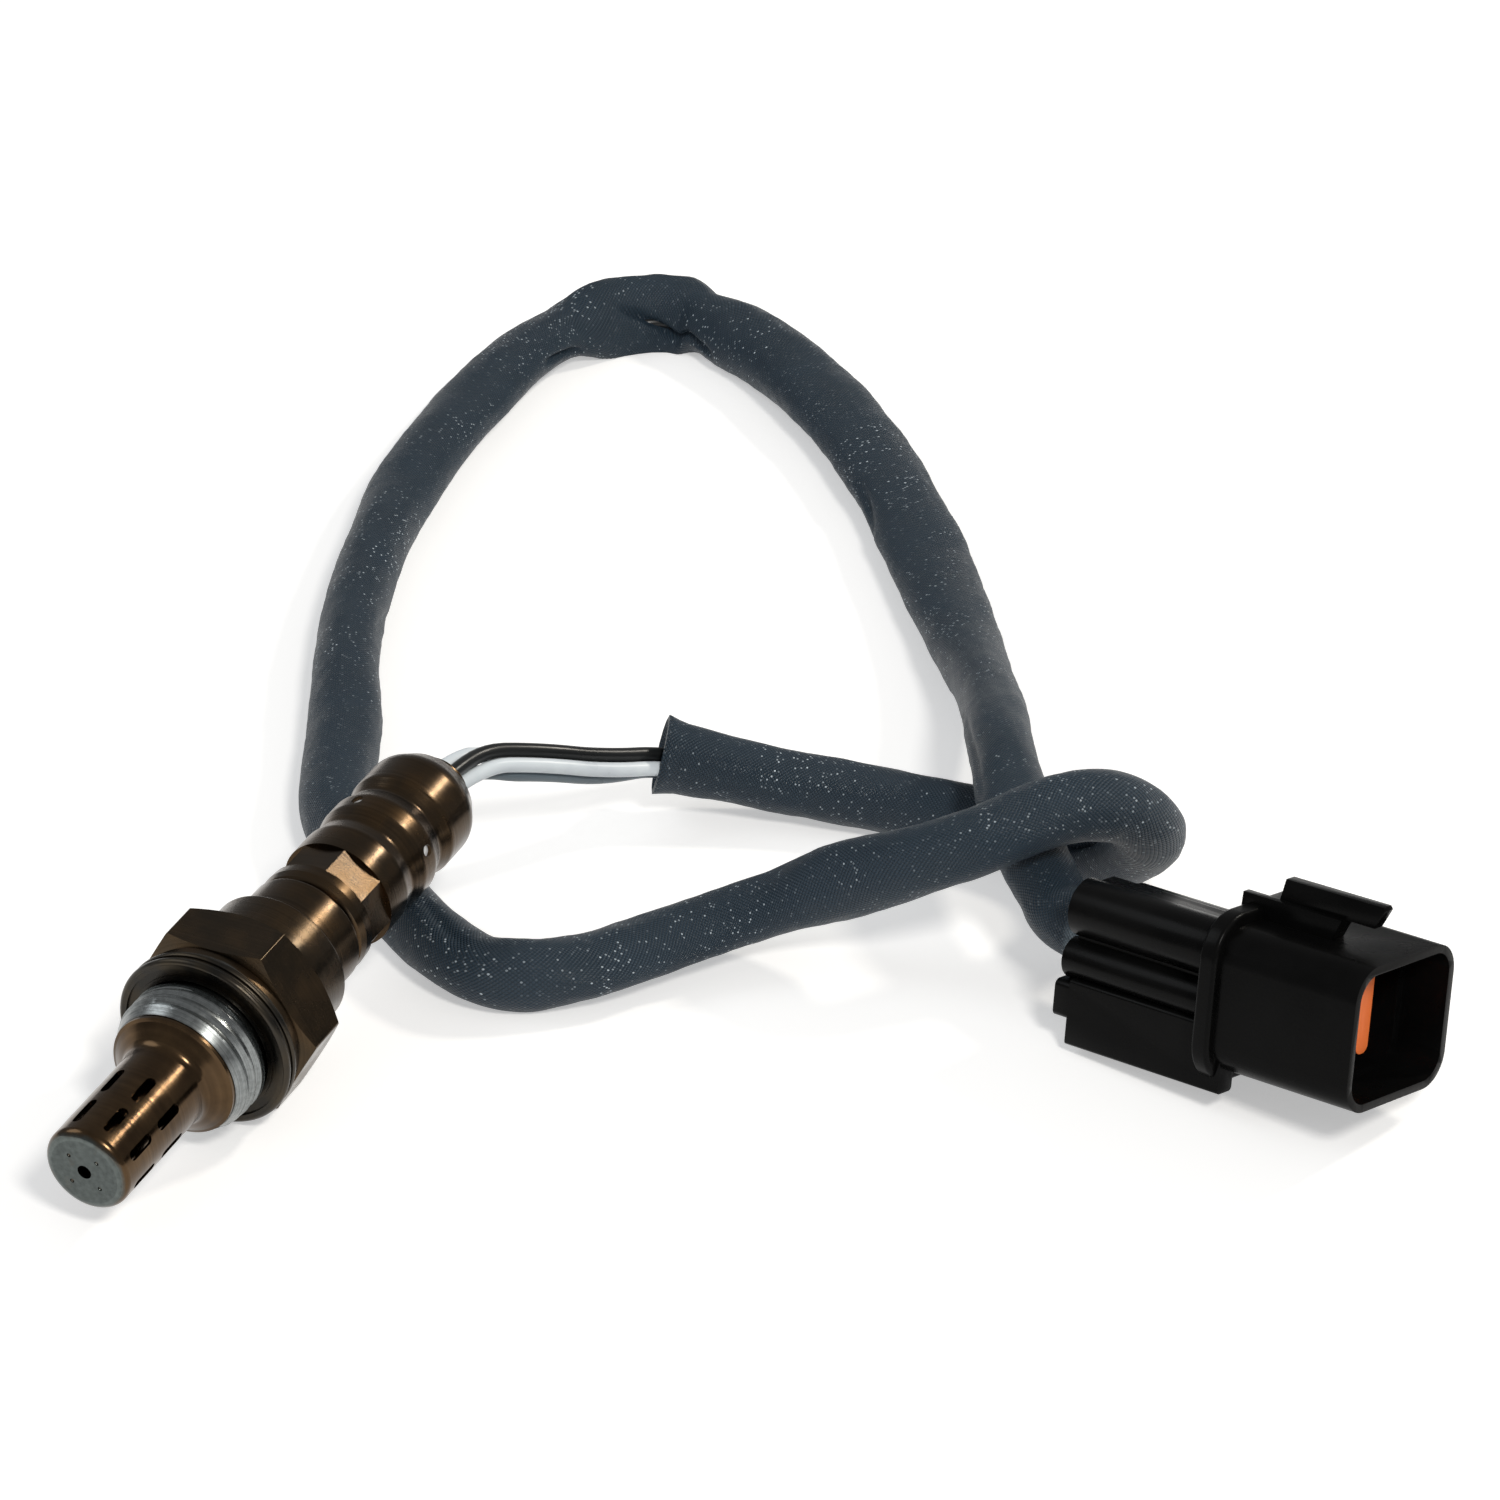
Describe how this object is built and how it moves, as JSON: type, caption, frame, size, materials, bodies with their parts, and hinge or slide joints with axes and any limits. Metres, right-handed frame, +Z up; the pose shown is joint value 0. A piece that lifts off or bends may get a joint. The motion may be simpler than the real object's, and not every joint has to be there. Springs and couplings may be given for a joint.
{
  "type": "heated oxygen sensor",
  "caption": "Four-wire heated exhaust oxygen sensor, hexagon body and louvred tip, with woven-sleeved harness and sealed plug, lying looped at rest.",
  "frame": {"origin": "centre of the sensor head's bounding box, at ground level", "axes": "+X from the sensor's tip towards its cable end, +Y to the loop's far side, +Z up"},
  "size_m": [0.2363, 0.1902, 0.0279],
  "materials": {
    "protector_steel": "heat-tinted satin",
    "shell_steel": "bright turned, warm tint",
    "gasket_steel": "dull rolled sheet",
    "cover_steel": "satin drawn",
    "zirconia": "matt white",
    "alumina": "matt white",
    "talc": "pressed powder",
    "ptfe": "matt white porous",
    "black_rubber": "matt",
    "seal_rubber": "matt",
    "terminal_metal": "tin plated",
    "black_insulation": "satin",
    "grey_insulation": "satin",
    "white_insulation": "satin",
    "woven_sleeve": "woven with a fine sparkle",
    "black_plastic": "moulded, satin gloss",
    "orange_plastic": "moulded"
  },
  "bodies": {
    "root": {"outer_protector": "protector_steel", "inner_protector": "protector_steel", "metal_shell": "shell_steel", "gasket": "gasket_steel", "seal_washer": "gasket_steel", "sensing_element": "zirconia", "heater_rod": "alumina", "talc_packing": "talc", "ceramic_bushing": "alumina", "crimp_ring": "gasket_steel", "base_sleeve": "cover_steel", "outer_cover": "cover_steel", "inner_cover": "cover_steel", "vent_filter": "ptfe", "ceramic_insulator": "alumina", "grommet": "black_rubber", "signal_terminal_inner": "terminal_metal", "signal_terminal_outer": "terminal_metal", "heater_terminal_a": "terminal_metal", "heater_terminal_b": "terminal_metal", "black_wire": "black_insulation", "grey_wire": "grey_insulation", "white_wire_a": "white_insulation", "white_wire_b": "white_insulation", "sleeve": "woven_sleeve", "connector_housing": "black_plastic", "terminal_retainer": "orange_plastic", "blade_terminal_1": "terminal_metal", "wire_seal_1": "seal_rubber", "blade_terminal_2": "terminal_metal", "wire_seal_2": "seal_rubber", "blade_terminal_3": "terminal_metal", "wire_seal_3": "seal_rubber", "blade_terminal_4": "terminal_metal", "wire_seal_4": "seal_rubber"}
  },
  "joints": []
}
